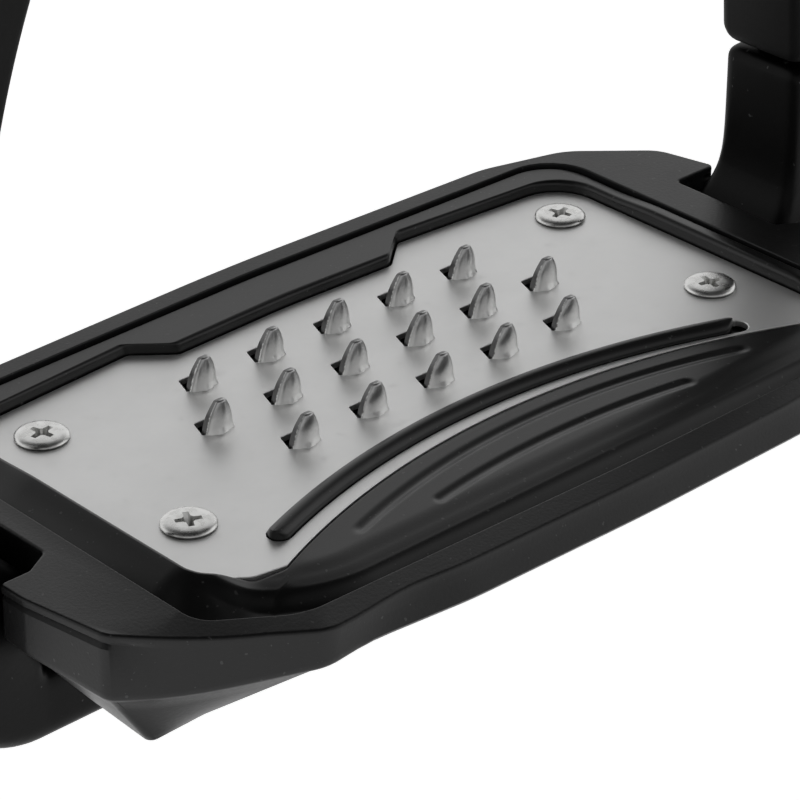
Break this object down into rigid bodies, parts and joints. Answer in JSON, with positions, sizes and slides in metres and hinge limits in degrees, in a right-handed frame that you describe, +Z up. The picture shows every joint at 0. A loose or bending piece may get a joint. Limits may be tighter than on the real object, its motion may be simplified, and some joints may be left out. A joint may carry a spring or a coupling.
{
  "type": "jointed riding stirrup",
  "caption": "Jointed stirrup: an arch with a strap eye, rubber sleeves over the side joints, and a tread that tilts, with a rubber pad and a steel grip plate with stamped teeth.",
  "frame": {"origin": "middle of the face in the strap eye that hangs on the stirrup strap, on the underside of the eye's top bar", "axes": "+X along the tread, -Y to the toe side that the boot enters from, +Z up towards the strap"},
  "size_m": [0.1418, 0.0686, 0.1525],
  "materials": {
    "black_coat": "satin black coating",
    "shell_plastic": "fine matt grain",
    "pad_rubber": "matt rubber",
    "sleeve_rubber": "smooth matt rubber",
    "plate_steel": "fine brushed",
    "screw_steel": "bright zinc",
    "bronze": "turned"
  },
  "bodies": {
    "arch": {"upper_bow": "black_coat", "left_sleeve": "sleeve_rubber", "right_sleeve": "sleeve_rubber", "left_pivot_pin": "screw_steel", "right_pivot_pin": "screw_steel"},
    "tread": {"lower_bow": "black_coat", "tread_shell": "shell_plastic", "tread_pad": "pad_rubber", "grip_plate": "plate_steel", "plate_screw_1": "screw_steel", "plate_screw_2": "screw_steel", "plate_screw_3": "screw_steel", "plate_screw_4": "screw_steel", "screw_insert_1": "bronze", "screw_insert_2": "bronze", "screw_insert_3": "bronze", "screw_insert_4": "bronze", "left_bow_screw": "screw_steel", "right_bow_screw": "screw_steel", "left_bow_nut": "screw_steel", "right_bow_nut": "screw_steel", "left_pivot_bush": "bronze", "right_pivot_bush": "bronze"}
  },
  "joints": [
    {"name": "tread_tilt", "type": "hinge", "parent": "arch", "child": "tread", "pos_m": [0, 0, -0.0965], "axis": [1, 0, 0], "range_deg": [-8, 8], "stiffness_Nm_per_rad": 0.8}
  ]
}
